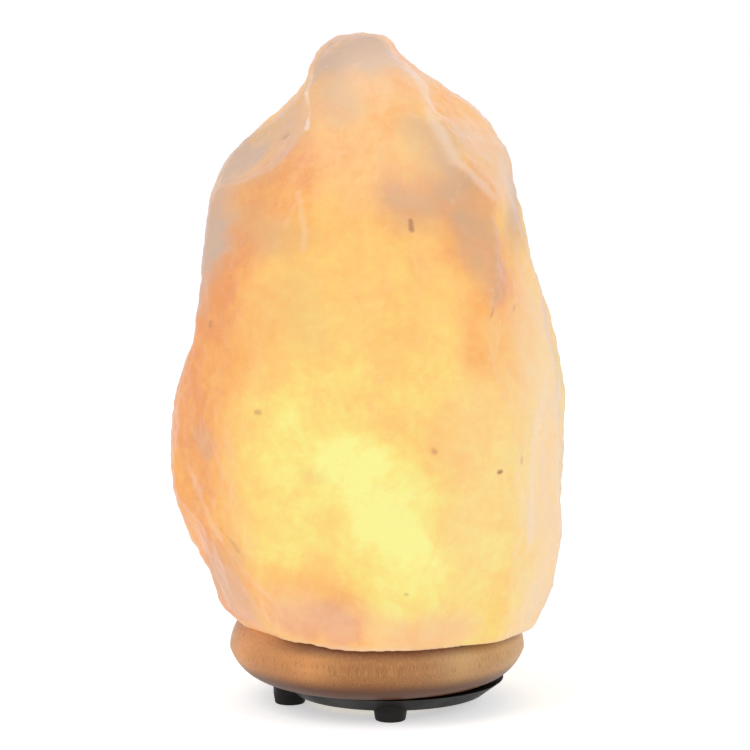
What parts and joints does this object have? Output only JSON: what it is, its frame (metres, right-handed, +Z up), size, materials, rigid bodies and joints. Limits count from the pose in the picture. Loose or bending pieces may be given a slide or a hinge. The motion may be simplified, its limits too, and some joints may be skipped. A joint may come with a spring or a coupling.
{
  "type": "salt crystal lamp",
  "caption": "Rough-hewn rock salt crystal, hollowed for a screw bulb, on a turned wooden base with a black plate and rubber feet.",
  "frame": {"origin": "on the axis of the bulb's bore, in the plane that the feet stand on", "axes": "+Z up along the bore, -Y towards the lamp's front, +X to the right seen from the front"},
  "size_m": [0.1464, 0.127, 0.2494],
  "materials": {
    "rock_salt": "matte",
    "turned_wood": "satin",
    "black_plastic": "satin",
    "feet_rubber": "matte",
    "bush_plastic": "satin",
    "grey_nylon": "satin",
    "zinc_screws": "satin",
    "holder_plastic": "satin",
    "white_ceramic": "matte",
    "contact_brass": "satin",
    "spring_steel": "satin",
    "solder": "satin",
    "cap_glass": "gloss",
    "cap_nickel": "satin",
    "bulb_glass": "polished",
    "stem_glass": "polished",
    "lead_wire": "satin",
    "hot_tungsten": "satin"
  },
  "bodies": {
    "lamp": {"salt_crystal": "rock_salt", "wooden_base": "turned_wood", "base_plate": "black_plastic", "foot_front": "feet_rubber", "foot_right": "feet_rubber", "foot_rear": "feet_rubber", "foot_left": "feet_rubber", "foot_screws": "zinc_screws", "crystal_screws": "zinc_screws", "wall_plugs": "grey_nylon", "cable_bush": "bush_plastic"},
    "lampholder": {"holder_cap": "holder_plastic", "holder_skirt": "holder_plastic", "holder_insert": "white_ceramic", "screw_shell": "contact_brass", "centre_contact": "contact_brass", "centre_terminal": "contact_brass", "shell_terminal": "contact_brass", "terminal_screws": "zinc_screws", "spring_clip_left": "spring_steel", "spring_clip_right": "spring_steel", "clip_rivets": "spring_steel"},
    "bulb_tip": {"cap_contact": "solder"},
    "bulb": {"bulb_cap": "cap_nickel", "cap_insulator": "cap_glass", "bulb_glass": "bulb_glass", "glass_stem": "stem_glass", "lead_wires": "lead_wire", "filament": "hot_tungsten"}
  },
  "joints": [
    {"name": "lampholder_pull", "type": "slide", "parent": "lamp", "child": "lampholder", "axis": [0, 0, -1], "range_m": [0, 0.12]},
    {"name": "bulb_rise", "type": "slide", "parent": "lampholder", "child": "bulb_tip", "axis": [0, 0, 1], "range_m": [0, 0.0085]},
    {"name": "bulb_turn", "type": "hinge", "parent": "bulb_tip", "child": "bulb", "pos_m": [0, 0, 0.06], "axis": [0, 0, 1], "range_deg": [0, 1080]}
  ],
  "couplings": [
    {"joint": "bulb_rise", "follows": "bulb_turn", "m_per_rad": 0.00044882}
  ]
}
